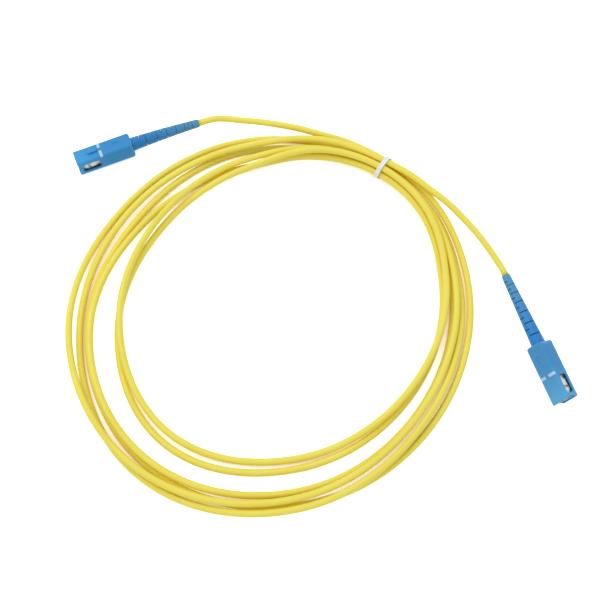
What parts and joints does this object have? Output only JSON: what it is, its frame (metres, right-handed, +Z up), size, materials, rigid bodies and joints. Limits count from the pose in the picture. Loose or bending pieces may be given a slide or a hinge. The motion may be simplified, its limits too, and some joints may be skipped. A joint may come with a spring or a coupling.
{
  "type": "fiber optic patch cord",
  "caption": "Coiled yellow simplex fiber optic patch cord with a blue push-pull square connector, sliding grip and slotted boot on each end, held by a white band.",
  "frame": {"origin": "on the surface that the cord lies on, midway between the outer ends of the two connectors along X and along Y", "axes": "+Z up from the surface, +X from the left connector to the right one as the picture shows them, +Y away from the viewer"},
  "size_m": [0.2054, 0.1725, 0.0105],
  "materials": {
    "blue_housing": "satin moulded",
    "white_marks": "matt",
    "white_frame": "satin moulded",
    "zirconia": "polished ceramic",
    "nickel_metal": "turned and plated",
    "spring_steel": "drawn wire",
    "aramid": "yarn",
    "blue_boot": "satin elastomer",
    "yellow_jacket": "smooth extruded PVC",
    "fibre_buffer": "smooth",
    "white_band": "welded film"
  },
  "bodies": {
    "cord": {"lead_a": "yellow_jacket", "coil": "yellow_jacket", "lead_b": "yellow_jacket", "tie": "white_band", "plug_frame_a": "white_frame", "ferrule_spring_a": "spring_steel", "stop_ring_a": "nickel_metal", "aramid_yarn_a": "aramid", "crimp_sleeve_a": "nickel_metal", "boot_a": "blue_boot", "cable_end_a": "yellow_jacket", "buffered_fibre_a": "fibre_buffer", "plug_frame_b": "white_frame", "ferrule_spring_b": "spring_steel", "stop_ring_b": "nickel_metal", "aramid_yarn_b": "aramid", "crimp_sleeve_b": "nickel_metal", "boot_b": "blue_boot", "cable_end_b": "yellow_jacket", "buffered_fibre_b": "fibre_buffer"},
    "grip_a": {"grip_housing_a": "blue_housing", "index_marks_a": "white_marks"},
    "ferrule_a": {"ferrule_a": "zirconia", "ferrule_flange_a": "nickel_metal"},
    "grip_b": {"grip_housing_b": "blue_housing", "index_marks_b": "white_marks"},
    "ferrule_b": {"ferrule_b": "zirconia", "ferrule_flange_b": "nickel_metal"}
  },
  "joints": [
    {"name": "grip_a_slide", "type": "slide", "parent": "cord", "child": "grip_a", "axis": [0.9259, 0.3778, 0], "range_m": [0, 0.0018]},
    {"name": "ferrule_a_push", "type": "slide", "parent": "cord", "child": "ferrule_a", "axis": [0.9259, 0.3778, 0], "range_m": [0, 0.0012], "stiffness_N_per_m": 1500, "springref_m": -0.004, "deforming": ["ferrule_spring_a"]},
    {"name": "grip_b_slide", "type": "slide", "parent": "cord", "child": "grip_b", "axis": [-0.3518, 0.9361, 0], "range_m": [0, 0.0018]},
    {"name": "ferrule_b_push", "type": "slide", "parent": "cord", "child": "ferrule_b", "axis": [-0.3518, 0.9361, 0], "range_m": [0, 0.0012], "stiffness_N_per_m": 1500, "springref_m": -0.004, "deforming": ["ferrule_spring_b"]}
  ]
}
